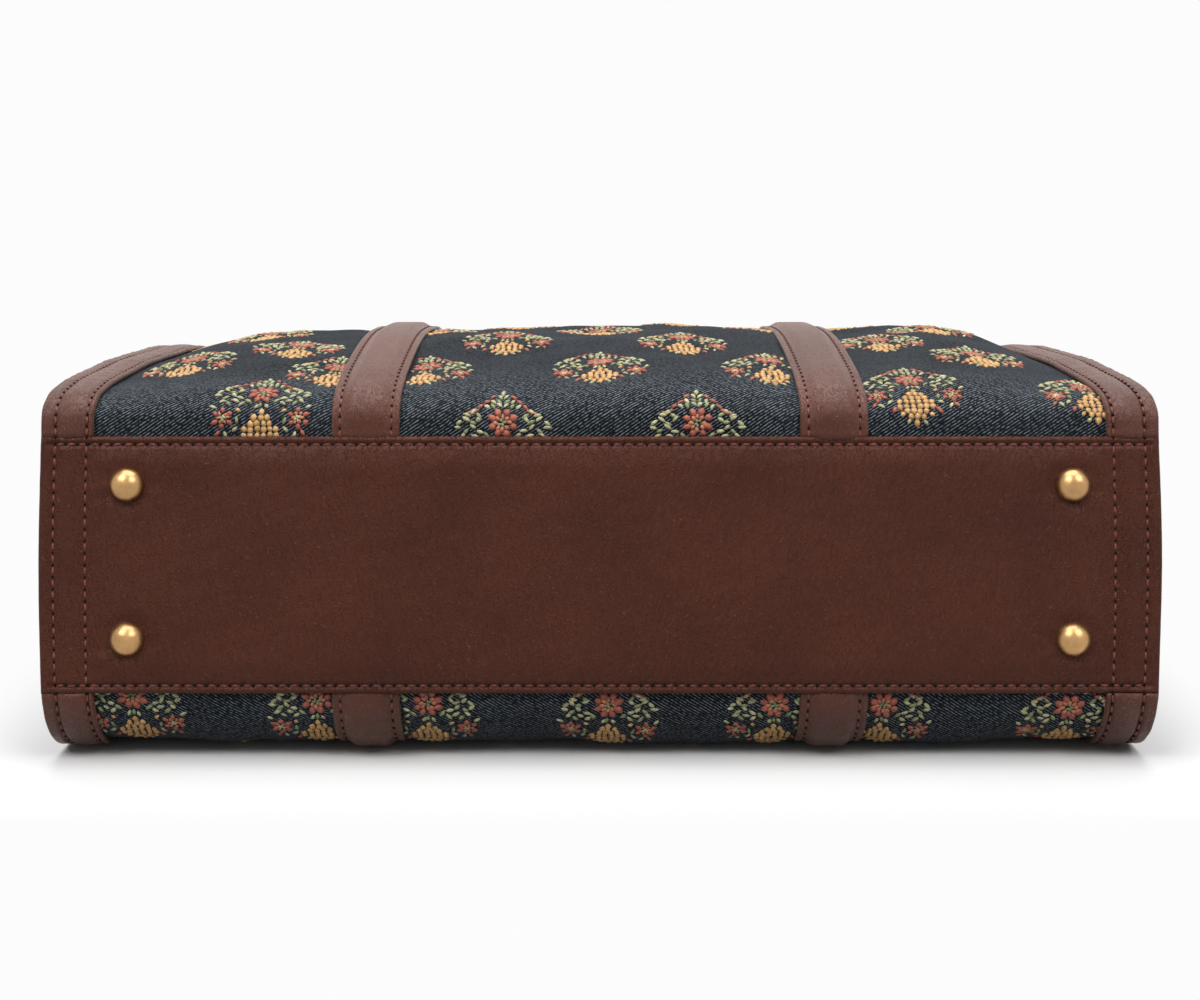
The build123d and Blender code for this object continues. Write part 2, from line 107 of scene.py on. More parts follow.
def bump(t):
    """A smooth bump, 1 at 0 and 0 beyond 1."""
    return 1 - smooth_step(np.abs(t))


class Noise:
    """Smooth repeatable noise in the plane, a sum of waves with seeded directions."""

    def __init__(self, size, waves=14):
        angles = rng.uniform(0, 2 * pi, waves)
        lengths = size * rng.uniform(0.6, 1.8, waves)
        self.kx = 2 * pi * np.cos(angles) / lengths
        self.ky = 2 * pi * np.sin(angles) / lengths
        self.phase = rng.uniform(0, 2 * pi, waves)

    def __call__(self, x, y):
        x = np.asarray(x, float)[..., None]
        y = np.asarray(y, float)[..., None]
        return np.sin(x * self.kx + y * self.ky + self.phase).sum(-1) / len(self.phase) ** 0.5


# Mesh helpers
def make_object(name, points, faces, material, uv=None):
    """A mesh piece from points in the bag's millimetres, riding on the bag."""
    mesh = bpy.data.meshes.new(name)
    mesh.from_pydata(placed(points).tolist(), [], [tuple(map(int, face)) for face in faces])
    if uv is not None:
        layer = mesh.uv_layers.new(name="flat")
        loops = np.zeros(len(mesh.loops), int)
        mesh.loops.foreach_get("vertex_index", loops)
        layer.data.foreach_set("uv", np.asarray(uv, float)[loops].ravel())
    mesh.shade_smooth()
    mesh.materials.append(material)
    piece = bpy.data.objects.new(name, mesh)
    bpy.context.scene.collection.objects.link(piece)
    mesh.validate()
    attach(piece, BODY)
    return piece


def grid_faces(rows, cols, first=0, close=False):
    """Quads of a grid of points, row by row; close joins the last column to the first."""
    quads = []
    for row in range(rows - 1):
        for col in range(cols if close else cols - 1):
            here = first + row * cols + col
            side = first + row * cols + (col + 1) % cols
            quads.append((here, side, side + cols, here + cols))
    return quads


def closed_sheet(outer, inner):
    """Points and faces of a closed sheet between two grids of the same size."""
    rows, cols = outer.shape[:2]
    count = rows * cols
    points = np.concatenate([outer.reshape(-1, 3), inner.reshape(-1, 3)])
    faces = grid_faces(rows, cols) + [face[::-1] for face in grid_faces(rows, cols, count)]
    spot = np.arange(count).reshape(rows, cols)
    rim = np.concatenate([spot[0], spot[1:, -1], spot[-1, -2::-1], spot[-2:0:-1, 0]])
    for here, after in zip(rim, np.roll(rim, -1)):
        faces.append((after, here, here + count, after + count))
    return points, faces


def tube_faces(count, around):
    """Faces of a closed tube of rings, with flat ends."""
    faces = grid_faces(count, around, close=True)
    faces.append(tuple(range(around))[::-1])
    faces.append(tuple(range((count - 1) * around, count * around)))
    return faces


def tube(rings):
    """Points and faces of a closed tube through rings of points."""
    return rings.reshape(-1, 3), tube_faces(*rings.shape[:2])


def copies(faces, count, size):
    """The faces of many copies of a small shape that has a given number of points."""
    return [tuple(i + index * size for i in face) for index in range(count) for face in faces]


def join(parts):
    """Joins several (points, faces) into one."""
    points, faces, start = [], [], 0
    for some, quads in parts:
        points.append(some)
        faces.extend([tuple(i + start for i in quad) for quad in quads])
        start += len(some)
    return np.concatenate(points), faces


# Lines of the two faces. The stuffed front is a little fuller at the right, and its cloth
# hangs below the full bulge, most beside the straps.
RIGHT_FULLER = 0.08
SLACK = 1.8
STRAP_SLACK = 1.6
SLACK_X = 104.0
SLACK_SPREAD = 20.0
BACK_SAG = 2.6
# The front's outline: shares of the way from the panel to the rim, and the rise over the panel
FRONT_RISE = [(0.018, 7.5), (0.038, 11.3), (0.075, 13.6), (0.162, 15.4), (0.408, 17.0), (0.711, 9.5)]


def on_panel(inside, along):
    """(u, v) of a point by its depth behind the bottom panel's face and its way up it."""
    return (
        inside * cos(LEAN) + along * sin(LEAN),
        PANEL_LOW - inside * sin(LEAN) + along * cos(LEAN),
    )


def crown(x):
    """How far the stuffed face stands up at x: 1 in the middle, 0 at the side bands."""
    return 1 - np.minimum(np.abs(x) / CLOTH_EDGE, 1) ** CROWN_POWER


def slack(x):
    """How far the real cloth hangs below the full bulge at x, most beside the straps."""
    beside_strap = np.exp(-(((np.abs(x) - SLACK_X) / SLACK_SPREAD) ** 2))
    return (SLACK + STRAP_SLACK * beside_strap) * crown(x) ** 0.5


def front_points(x):
    """Points of the front cloth's outer line at x."""
    top_u, top_v = on_panel(0, PANEL_DEPTH)
    run = HEIGHT - top_u
    slope_u, slope_v = RIM_STRAIGHT * cos(RIM_SLOPE), RIM_STRAIGHT * sin(RIM_SLOPE)
    straight_u = HEIGHT - slope_u
    full = BULGE * (1 + RIGHT_FULLER * x / CLOTH_EDGE) * crown(x) - slack(x)
    points = [on_panel(PANEL_THICK, PANEL_DEPTH - TUCK), on_panel(PANEL_THICK, PANEL_DEPTH)]
    for share, rise in FRONT_RISE:
        lift = full * sin(pi * share * run / (straight_u - top_u))
        points.append((top_u + share * run, top_v + rise + lift))
    points.append((straight_u, RIM_HIGH + slope_v))
    points.append((HEIGHT - slope_u / 2, RIM_HIGH + slope_v / 2))
    points.append((HEIGHT, RIM_HIGH))
    return points


def back_points(x):
    """Points of the back cloth's outer line at x: it sags to the floor between the straps."""
    sag = BACK_SAG * crown(x)
    rise_u = HEIGHT - RIM_STRAIGHT
    return [
        on_panel(PANEL_THICK, TUCK),
        on_panel(PANEL_THICK, 0),
        (8.0, 13.0),
        (18.0, 5.5 - 0.4 * sag),
        (34.0, BACK_OUT - sag),
        (90.0, BACK_OUT - sag),
        (170.0, BACK_OUT - sag),
        (rise_u - 30.0, BACK_OUT - 0.8 * sag),
        (rise_u, BACK_OUT + BINDING_OUT),
        (HEIGHT - RIM_STRAIGHT / 2, BACK_OUT + BINDING_OUT),
        (HEIGHT, BACK_OUT + BINDING_OUT),
    ]


def hermite(a, b, start, end, t):
    """Points of a smooth curve from a to b that leaves a by start and reaches b by end."""
    bend = start * (t**3 - 2 * t**2 + t) + end * (t**3 - t**2)
    return a * (2 * t**3 - 3 * t**2 + 1) + b * (3 * t**2 - 2 * t**3) + bend


def curve_through(points, count):
    """Evenly spaced points of a smooth curve through given points, and its length."""
    points = np.asarray(points, float)
    steps = np.linalg.norm(np.diff(points, axis=0), axis=1)
    knots = np.concatenate([[0], np.cumsum(steps)])
    ways = np.diff(points, axis=0) / steps[:, None]
    before, after = steps[:-1, None], steps[1:, None]
    inner_slopes = (ways[:-1] * after + ways[1:] * before) / (before + after)
    slopes = np.concatenate([ways[:1], inner_slopes, ways[-1:]])
    fine = np.linspace(0, knots[-1], count * 6)
    k = np.clip(np.searchsorted(knots, fine, side="right") - 1, 0, len(steps) - 1)
    t = ((fine - knots[k]) / steps[k])[:, None]
    h = steps[k][:, None]
    curve = hermite(points[k], points[k + 1], slopes[k] * h, slopes[k + 1] * h, t)
    run = np.concatenate([[0], np.cumsum(np.linalg.norm(np.diff(curve, axis=0), axis=1))])
    even = np.linspace(0, run[-1], count)
    return np.stack([np.interp(even, run, curve[:, i]) for i in range(2)], -1), run[-1]


class Face:
    """One of the bag's two big faces, as a grid of points over x and the way from the bottom."""

    def __init__(self, line, outward, rows=260, cols=161):
        self.xs = np.linspace(-HALF, HALF, cols)
        lines = [curve_through(line(x), rows) for x in self.xs]
        self.length = lines[cols // 2][1]
        self.rim_s = self.length - TUCK
        self.points = np.empty((rows, cols, 3))
        for col, (flat, _) in enumerate(lines):
            self.points[:, col, 0] = self.xs[col]
            self.points[:, col, 1:] = flat
        along = np.gradient(self.points, axis=0)
        across = np.gradient(self.points, axis=1)
        self.normals = unit(np.cross(across, along)) * outward

    def _sample(self, values, x, s):
        """Values of a grid at x and s, blended between its points."""
        rows, cols = values.shape[:2]
        j = np.clip((x + HALF) / LENGTH * (cols - 1), 0, cols - 1.001)
        i = np.clip((s + TUCK) / self.length * (rows - 1), 0, rows - 1.001)
        i0, j0 = i.astype(int), j.astype(int)
        a, b = (i - i0)[..., None], (j - j0)[..., None]
        return (
            values[i0, j0] * (1 - a) * (1 - b)
            + values[i0 + 1, j0] * a * (1 - b)
            + values[i0, j0 + 1] * (1 - a) * b
            + values[i0 + 1, j0 + 1] * a * b
        )

    def at(self, x, s, out=0.0):
        """Points at x and s, the way from the bottom panel's edge, a distance out of the cloth."""
        x, s = same_shape(x, s)
        out = np.broadcast_to(np.asarray(out, float), x.shape)
        return self._sample(self.points, x, s) + self.normal(x, s) * out[..., None]

    def normal(self, x, s):
        """Outward directions of the cloth at x and s."""
        x, s = same_shape(x, s)
        return unit(self._sample(self.normals, x, s))


front = Face(front_points, 1)
back = Face(back_points, -1)


# Materials
class Nodes:
    """The node tree of a material or a world, with short ways to add nodes and link them."""

    def __init__(self, owner):
        self.owner = owner
        owner.use_nodes = True
        self.tree = owner.node_tree

    def feed(self, target, **inputs):
        """Sets a node's inputs and properties by name, and links those that are sockets."""
        for name, value in inputs.items():
            label = name.replace("_", " ")
            if label not in target.inputs:
                setattr(target, name, value)
            elif isinstance(value, bpy.types.NodeSocket):
                self.tree.links.new(value, target.inputs[label])
            else:
                target.inputs[label].default_value = value
        return target

    def add(self, kind, **inputs):
        """A new node with its inputs and properties."""
        return self.feed(self.tree.nodes.new("ShaderNode" + kind), **inputs)

    def maths(self, operation, *values, kind="Math", out="Value"):
        """The result of a maths node fed by sockets or numbers."""
        made = self.add(kind, operation=operation)
        for socket, value in zip(made.inputs, values):
            if isinstance(value, bpy.types.NodeSocket):
                self.tree.links.new(value, socket)
            else:
                socket.default_value = value
        return made.outputs[out]

    def weighted(self, value, amount, rest=0.0):
        """A value times an amount, plus the rest."""
        return self.maths("MULTIPLY_ADD", value, amount, rest)

    def place(self):
        """The place on the object, in metres."""
        return self.add("TexCoord").outputs["Object"]

    def mapped(self, place, **inputs):
        """A place turned or stretched."""
        return self.add("Mapping", Vector=place, **inputs).outputs["Vector"]

    def noise(self, place, **inputs):
        """Noise over a place."""
        return self.add("TexNoise", Vector=place, **inputs).outputs["Fac"]

    def smooth_range(self, value, low, high, start=0.0, end=1.0):
        """A smooth change from start to end as a value goes from low to high."""
        ends = {"From_Min": low, "From_Max": high, "To_Min": start, "To_Max": end}
        made = self.add("MapRange", interpolation_type="SMOOTHSTEP", Value=value, **ends)
        return made.outputs["Result"]

    def ramp(self, value, low, dark, high, light):
        """A colour from dark to light as a value goes from low to high."""
        made = self.add("ValToRGB", Fac=value)
        for stop, at, colour in zip(made.color_ramp.elements, (low, high), (dark, light)):
            stop.position = at
            stop.color = (*colour, 1)
        return made.outputs["Color"]

    def relief(self, height, strength, distance):
        """Surface directions over fine heights."""
        made = self.add("Bump", Height=height, Strength=strength, Distance=distance)
        return made.outputs["Normal"]

    def material(self, **inputs):
        """The material, with its shader's inputs set."""
        self.feed(self.tree.nodes["Principled BSDF"], **inputs)
        return self.owner

    def blend(self, share, first, second, output):
        """Blends two shaders by a share and sends them to the tree's output."""
        mix = self.add("MixShader", Fac=share)
        for index, value in ((1, first), (2, second)):
            self.tree.links.new(value, mix.inputs[index])
        self.tree.links.new(mix.outputs["Shader"], self.tree.nodes[output].inputs["Surface"])


CREASE_LEAN = radians(32)
CREASE_SIDE = 0.07
CREASE_SHARPNESS = 26.0
PORE_GLOSS = 0.16


def leather(name, dark, light, roughness=0.4, shine=0.18, dust=0.0):
    """Waxed leather: soft slanting creases whose ridges carry a painted highlight in the colour, fine
    pores and a slightly blotchy colour.
    """
    look = Nodes(bpy.data.materials.new(name))
    place = look.place()
    blotch = look.noise(place, Scale=30.0, Detail=3.0, Roughness=0.5)
    pores = look.noise(place, Scale=1400.0, Detail=3.0, Roughness=0.6)
    creases = []
    for lean in (CREASE_LEAN, -CREASE_LEAN):
        drawn_out = look.mapped(look.mapped(place, Rotation=(0, lean, lean)), Scale=(1, 0.5, 0.4))
        creases.append(look.noise(drawn_out, Scale=760.0, Detail=2.0, Roughness=0.5, Distortion=1.2))
    x = look.add("SeparateXYZ", Vector=place).outputs["X"]
    side = look.smooth_range(x, -CREASE_SIDE, CREASE_SIDE)
    crease = look.add("Mix", data_type="FLOAT", Factor=side, A=creases[0], B=creases[1]).outputs[0]
    from_ridge = look.maths("ABSOLUTE", look.maths("SUBTRACT", crease, 0.5))
    ridge = look.maths("MAXIMUM", look.weighted(from_ridge, -CREASE_SHARPNESS, 1.0), 0.0)
    # The crease ridges lighten the colour: a painted highlight along them, on top of their real relief in
    # the height.
    tone = look.weighted(blotch, 0.4, look.weighted(ridge, 0.34, 0.2))
    height = look.weighted(ridge, 0.5, look.weighted(pores, 0.25))
    return look.material(
        Base_Color=look.ramp(tone, 0.3, dark, 0.7, light),
        Roughness=look.weighted(pores, PORE_GLOSS, roughness - PORE_GLOSS / 2),
        Normal=look.relief(height, 0.8, 0.001),
        Specular_IOR_Level=shine,
        Sheen_Weight=dust,
        Sheen_Roughness=0.4,
        Sheen_Tint=(0.85, 0.66, 0.58, 1),
    )


TWILL_SLANT = radians(56)
FLECK_COLOUR = (0.21, 0.24, 0.27, 1)
FULL_FLECKS_TO = 12.0
PLAIN_FROM = 55.0


def twill(name):
    """Dark twill: slanting ribs broken into pale flecks, most of them near the bottom panel; their
    thinning higher up is painted shade, where the weave turns away from the light.

    It is drawn on the cloth's own flat millimetres.
    """
    look = Nodes(bpy.data.materials.new(name))
    flat = look.add("UVMap").outputs["UV"]
    turned = look.mapped(flat, Rotation=(0, 0, TWILL_SLANT))
    ribs = look.add("TexWave", Vector=turned, Scale=0.3, Distortion=1.0, Detail=2.0, Detail_Scale=0.8)
    specks = look.noise(look.mapped(turned, Scale=(1.5, 0.75, 1)), Scale=1.0, Detail=2.0, Roughness=0.6)
    slubs = look.noise(flat, Scale=0.22, Detail=4.0, Roughness=0.7, Distortion=1.5)
    cloudy = look.noise(flat, Scale=0.022, Detail=5.0, Roughness=0.62, Distortion=0.6)
    fleck = look.weighted(slubs, 0.14, look.maths("MULTIPLY", specks, ribs.outputs["Fac"]))
    ground = look.ramp(cloudy, 0.36, (0.0014, 0.0024, 0.004), 0.7, (0.0085, 0.0115, 0.015))
    pale = look.ramp(fleck, 0.46, (0, 0, 0), 0.62, (1, 1, 1))
    way_up = look.add("SeparateXYZ", Vector=flat).outputs["Y"]
    # Painted shade: the pale flecks thin out higher up the face, where the weave turns away from the
    # light.
    painted_fleck_shade = look.smooth_range(way_up, FULL_FLECKS_TO, PLAIN_FROM, 0.95, 0.34)
    share = look.maths("MULTIPLY", pale, painted_fleck_shade)
    colour = look.add("MixRGB", Fac=share, Color1=ground, Color2=FLECK_COLOUR)
    return look.material(
        Base_Color=colour.outputs["Color"],
        Roughness=0.85,
        Normal=look.relief(fleck, 0.6, 0.0003),
        Specular_IOR_Level=0.12,
        Sheen_Weight=0.05,
        Sheen_Roughness=0.5,
        Sheen_Tint=(0.75, 0.8, 0.86, 1),
    )


def thread(name, colour):
    """Twisted thread, with fine changes of its colour."""
    look = Nodes(bpy.data.materials.new(name))
    place = look.place()
    fine = look.noise(place, Scale=1500.0, Detail=3.0)
    wide = look.noise(place, Scale=340.0, Detail=2.0)
    tone = look.weighted(wide, 0.5, look.weighted(fine, 0.5))
    darker = tuple(c * 0.5 for c in colour)
    lighter = tuple(min(c * 1.35, 1) for c in colour)
    return look.material(
        Base_Color=look.ramp(tone, 0.35, darker, 0.65, lighter),
        Roughness=0.55,
        Normal=look.relief(fine, 0.4, 0.0002),
    )


def brass(name, colour, roughness):
    """Satin brass with faint brushing and tarnish."""
    look = Nodes(bpy.data.materials.new(name))
    place = look.place()
    tarnish = look.noise(place, Scale=260.0, Detail=5.0, Roughness=0.6)
    scratch = look.noise(place, Scale=1800.0, Detail=2.0)
    return look.material(
        Base_Color=look.ramp(tarnish, 0.3, tuple(c * 0.72 for c in colour), 0.7, colour),
        Roughness=look.weighted(tarnish, 0.2, roughness - 0.1),
        Normal=look.relief(scratch, 0.12, 0.0001),
        Metallic=1.0,
    )


def woven(name, dark, light, scale=900.0):
    """Plain woven cloth for the lining and the tapes, and the pressed board."""
    look = Nodes(bpy.data.materials.new(name))
    place = look.place()
    warp, weft = (
        look.add("TexWave", Vector=place, Scale=scale, Distortion=0.6, bands_direction=way).outputs["Fac"]
        for way in "XZ"
    )
    cloudy = look.noise(place, Scale=60.0, Detail=4.0)
    weave = look.maths("MULTIPLY", warp, weft)
    tone = look.weighted(cloudy, 0.5, look.weighted(weave, 0.5))
    return look.material(
        Base_Color=look.ramp(tone, 0.2, dark, 0.7, light),
        Roughness=0.85,
        Normal=look.relief(weave, 0.35, 0.0002),
    )


panel_leather = leather("panel_leather", (0.052, 0.0125, 0.0056), (0.11, 0.029, 0.0142))
strap_leather = leather(
    "strap_leather", (0.07, 0.018, 0.0085), (0.152, 0.044, 0.0235), roughness=0.35, shine=0.28, dust=0.24
)
edge_leather = leather("edge_leather", (0.048, 0.0125, 0.0075), (0.085, 0.024, 0.0145), roughness=0.5)
cloth = twill("printed_twill")
seam_thread = thread("seam_thread", (0.15, 0.032, 0.019))
# Needle holes: near-black leather as painted shade, for the shadow inside each pierced hole.
hole_painted_shade = leather("needle_hole_painted_shade", (0.0015, 0.0008, 0.0008), (0.004, 0.002, 0.002), roughness=0.9)
satin_brass = brass("satin_brass", (0.55, 0.32, 0.14), 0.32)
lining_cloth = woven("lining_cloth", (0.2, 0.15, 0.1), (0.42, 0.34, 0.25))
tape_cloth = woven("tape_cloth", (0.03, 0.016, 0.012), (0.075, 0.042, 0.032), scale=1300.0)
board = woven("pressed_board", (0.16, 0.11, 0.07), (0.3, 0.22, 0.14), scale=300.0)
sprig_threads = {
    "red": thread("thread_red", (0.34, 0.085, 0.05)),
    "coral": thread("thread_coral", (0.46, 0.17, 0.09)),
    "green": thread("thread_green", (0.22, 0.25, 0.11)),
    "cream": thread("thread_cream", (0.43, 0.42, 0.23)),
    "gold": thread("thread_gold", (0.58, 0.33, 0.125)),
}

# Stitching: short threads that dip into needle holes, whose near-black domes are painted shade
STITCH_LONG = 3.0
STITCH_WIDE = 0.6
STITCH_HIGH = 0.36
THREAD_TAPER = 0.94
THREAD_SINK = 0.85
HOLE_RADIUS = 0.55
HOLE_HIGH = 0.42
HOLE_SUNK = 0.25
thread_bits = []
hole_shade_bits = []


def thread_shape(points, ways, normals, long, wide, high, sides=5, rings=4):
    """Low rounded threads, one at each point, along its way and standing on its surface."""
    count = len(points)
    long, wide, high = (np.broadcast_to(size, count)[:, None, None] for size in (long, wide, high))
    t = np.linspace(-1, 1, rings)[None, :, None]
    girth = np.sqrt(1 - THREAD_TAPER * t**2)
    angle = np.linspace(0, 2 * pi, sides, endpoint=False)[None, None, :]
    along = t * long / 2 * np.ones_like(angle)
    across = girth * np.cos(angle) * wide
    up = girth * np.sin(angle) * high + (girth - THREAD_SINK) * high * 0.5
    side_ways = unit(np.cross(normals, ways))
    rings_of = points[:, None, None, :]
    for amount, way in ((along, ways), (across, side_ways), (up, normals)):
        rings_of = rings_of + amount[..., None] * way[:, None, None, :]
    return rings_of.reshape(-1, 3), copies(tube_faces(rings, sides), count, rings * sides)


def circle(a, b, count):
    """Directions evenly round a circle, from two that stand square to each other."""
    angle = np.linspace(0, 2 * pi, count, endpoint=False)[:, None]
    return np.cos(angle) * a[..., None, :] + np.sin(angle) * b[..., None, :]


def dots(points, normals, sides=6):
    """Low closed domes, one at each point, for needle holes; near-black, they are the holes' painted
    shade.
    """
    helper = np.where(np.abs(normals[:, :1]) < 0.8, [[1.0, 0, 0]], [[0, 1.0, 0]])
    a = unit(np.cross(normals, helper))
    rim = HOLE_RADIUS * circle(a, np.cross(normals, a), sides)
    low = points[:, None] + rim - normals[:, None] * HOLE_SUNK
    top = points[:, None] + rim * 0.8 + normals[:, None] * HOLE_HIGH
    block = np.concatenate([low, top], axis=1)
    return block.reshape(-1, 3), copies(tube_faces(2, sides), len(points), 2 * sides)


def stitch_line(path, normals, pitch=STITCH_PITCH):
    """Sews along a path of points: keeps its threads and holes for the joined pieces."""
    steps = np.linalg.norm(np.diff(path, axis=0), axis=1)
    run = np.concatenate([[0], np.cumsum(steps)])
    count = max(int(run[-1] / pitch), 1)
    middles = (np.arange(count) + 0.5) * run[-1] / count
    ends = np.arange(count + 1) * run[-1] / count

    def pick(values, at):
        return np.stack([np.interp(at, run, values[:, i]) for i in range(3)], -1)

    ways = unit(pick(path, middles + 0.5) - pick(path, middles - 0.5))
    turn = rng.uniform(-0.1, 0.1, (count, 1))
    normal = unit(pick(normals, middles))
    ways = unit(ways + turn * np.cross(normal, ways))
    at = pick(path, middles) + normal * 0.05
    thread_bits.append(thread_shape(at, ways, normal, STITCH_LONG, STITCH_WIDE, STITCH_HIGH))
    hole_shade_bits.append(dots(pick(path, ends), unit(pick(normals, ends))))


# Bottom panel: rolled edges, sewn grooves, soft pillows and puckers round the feet
PANEL_PILLOW = 1.4
SIDE_PILLOW = 0.95
PILLOW_START = 17.0
PILLOW_RISE = 11.0
EDGE_GROOVE = 0.75
SIDE_GROOVE = 0.7
GATHER = 0.16
GATHER_REACH = 3.5
FOOT_DISH = 0.9
PANEL_ROLL = 1.3
SIDE_BOW = 1.0
BOW_FROM = 150.0
panel_out = np.array([0, -cos(LEAN), sin(LEAN)])
fine_ripple = Noise(7.0)
broad_ripple = Noise(60.0)


def panel_height(x, along):
    """How far the panel's leather stands out at x and its way up the panel."""
    x, along = same_shape(x, along)
    from_side = HALF - np.abs(x)
    from_edge = np.minimum(along, PANEL_DEPTH - along)
    high = 0.35 * broad_ripple(x, along) + 0.05 * fine_ripple(x, along)
    inner = smooth_step(from_edge / PILLOW_RISE) * smooth_step((from_side - PILLOW_START) / PILLOW_RISE)
    high = high + PANEL_PILLOW * inner
    high = high - EDGE_GROOVE * bump((from_edge - EDGE_STITCH) / 1.5) * (from_side > 3)
    for at in SIDE_STITCHES:
        high = high - SIDE_GROOVE * bump((from_side - at) / 1.7)
    high = high + SIDE_PILLOW * bump((from_side - SEAM_MIDDLE) / PILLOW_REACH) * smooth_step(from_edge / 6)
    gathers = np.sin(2 * pi * x / STITCH_PITCH + 1.5 * fine_ripple(x * 0.2, along * 0))
    past_seam = np.maximum(from_edge - EDGE_STITCH, 0)
    high = high + GATHER * gathers * np.exp(-past_seam / GATHER_REACH) * (from_edge > EDGE_STITCH)
    for side in (-1, 1):
        for foot_up in FOOT_UP:
            across, up = x - side * FOOT_X, along - foot_up
            reach = np.hypot(across, up)
            angle = np.arctan2(up, across)
            dish = -FOOT_DISH * np.exp(-(((reach - 6.0) / 3.0) ** 2))
            fan = 0.12 * np.sin(7 * angle + 1.3 * side + foot_up) + 0.06 * np.sin(12 * angle + side)
            high = high + dish + fan * np.exp(-(((reach - 9.0) / 3.6) ** 2))
    roll = np.clip(1 - np.minimum(from_edge, from_side) / PANEL_ROLL, 0, 1)
    return high - PANEL_ROLL * (1 - np.sqrt(np.maximum(1 - roll**2, 0)))


def panel_point(x, along):
    """Points on the bottom panel's outer surface."""
    x, along = same_shape(x, along)
    at_end = np.sign(x) * smooth_step((np.abs(x) - BOW_FROM) / (HALF - BOW_FROM))
    bow = SIDE_BOW * np.sin(pi * along / PANEL_DEPTH) * at_end
    u, v = on_panel(0, along)
    return np.stack([x + bow, u, v], -1) + panel_height(x, along)[..., None] * panel_out


def dense_line(stops, step):
    """Numbers between stops, closer together near each stop."""
    values = []
    for low, high in zip(stops, stops[1:]):
        count = max(int((high - low) / step), 4)
        t = np.linspace(0, 1, count, endpoint=False)
        values.append(low + (high - low) * t)
    return np.append(np.concatenate(values), stops[-1])


SIDE_MARKS = [0, 0.4, 0.8, 1.4, 5.2, 16.4, 22.0]
EDGE_MARKS = [0, 0.3, 0.7, 1.4, 2.9, 5.0]
MIDDLE_FROM = 160.0
left_marks = [-HALF + mark for mark in SIDE_MARKS] + [-MIDDLE_FROM]
panel_xs = dense_line(left_marks + [-mark for mark in left_marks[::-1]], 1.15)
panel_ups = dense_line(EDGE_MARKS + [PANEL_DEPTH - mark for mark in EDGE_MARKS[::-1]], 1.2)
grid_x, grid_up = np.meshgrid(panel_xs, panel_ups)
panel_outer = panel_point(grid_x, grid_up)
panel_u, panel_v = on_panel(PANEL_THICK - 0.2, grid_up)
panel_inner = np.stack([grid_x, panel_u, panel_v], -1)
bottom = make_object("bottom_leather", *closed_sheet(panel_outer, panel_inner), panel_leather)
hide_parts("bottom_panel")


def panel_stitches(xs, ups):
    """Sews a straight line on the bottom panel."""
    path = panel_point(xs, ups)
    stitch_line(path, np.broadcast_to(panel_out, path.shape))


for up in (EDGE_STITCH, PANEL_DEPTH - EDGE_STITCH):
    panel_stitches(np.linspace(-HALF + SIDE_STITCHES[0], HALF - SIDE_STITCHES[0], 400), up)
for side in (-1, 1):
    for mark in SIDE_STITCHES:
        panel_stitches(side * (HALF - mark), np.linspace(EDGE_STITCH, PANEL_DEPTH - EDGE_STITCH, 120))

# Feet: turned domes with a small rolled rim
DOME_RADIUS = (FOOT_RADIUS**2 + FOOT_HIGH**2) / (2 * FOOT_HIGH)
foot_side = np.array([1.0, 0, 0])
foot_up_way = np.array([0, sin(LEAN), cos(LEAN)])


def foot(name, replaced, x, foot_up):
    """A dome foot, turned round its own outline of radii and heights over the panel."""
    radii = FOOT_RADIUS * np.sin(np.linspace(0.02, 1, 22) * pi / 2)
    outline = [(r, FOOT_HIGH - DOME_RADIUS + (DOME_RADIUS**2 - r**2) ** 0.5) for r in radii]
    outline += [(FOOT_RADIUS + 0.1, -0.3), (FOOT_RADIUS - 0.3, -0.9), (1.5, -1.2)]
    centre = np.array([x, *on_panel(0, foot_up)])
    spokes = circle(foot_side, foot_up_way, 48)
    rings = np.array([centre + radius * spokes + high * panel_out for radius, high in outline])
    dome = make_object(name, *tube(rings), satin_brass)
    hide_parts(replaced)


for side, side_name in ((-1, "left"), (1, "right")):
    for foot_up, row_name in zip(FOOT_UP, ("low", "high")):
        foot_name = f"foot_{side_name}_{row_name}"
        foot(foot_name + "_dome", foot_name, side * FOOT_X, foot_up)

# Cloth faces, softly creased
CREASE_FADE = 30.0
SLOW_DENT = 0.9
FAST_DENT = 0.35
STRAP_PULL = 0.9
PUCKER = 0.25
CLOTH_THICK = 1.0
END_TURN = 1.5
slow_crease = Noise(75.0)
fast_crease = Noise(22.0)


def cloth_relief(x, s):
    """Soft dents and creases of the stuffed cloth, still at its sewn edges."""
    inside = smooth_step((CLOTH_EDGE - np.abs(x)) / CREASE_FADE) * smooth_step(s / CREASE_FADE)
    inside = inside * smooth_step((front.rim_s - BINDING_WIDTH - s) / CREASE_FADE)
    pull = np.zeros_like(np.asarray(x, float) + s)
    for side in (-1, 1):
        near = np.abs(np.abs(x - side * STRAP_X) - STRAP_WIDTH / 2)
        pull = pull - STRAP_PULL * np.exp(-((near / 5.0) ** 2)) * smooth_step(s / 12)
    pucker = PUCKER * np.sin(x * 0.9 + 2 * np.sin(x * 0.13)) * np.exp(-(((s - 4) / 5.0) ** 2))
    return inside * (SLOW_DENT * slow_crease(x, s) + FAST_DENT * fast_crease(x, s)) + pull + pucker


def cloth_sheet(face, name, replaced):
    """The cloth of a face, from behind the bottom panel to under the rim's binding."""
    reach = HALF - END_TURN
    tucked = np.linspace(-9.5, 16, 22)
    x, s = np.meshgrid(
        np.linspace(-reach, reach, 151), np.append(tucked, np.linspace(18, face.rim_s - 0.5, 90))
    )
    outer = face.at(x, s, cloth_relief(x, s))
    inner = outer - face.normal(x, s) * CLOTH_THICK
    points, faces = closed_sheet(outer, inner)
    uv = np.stack([x.ravel(), s.ravel()], -1)
    piece = make_object(name, points, faces, cloth, uv=np.concatenate([uv, uv]))
    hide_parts(replaced)


cloth_sheet(front, "front_cloth", "front_panel")
cloth_sheet(back, "back_cloth", "back_panel")

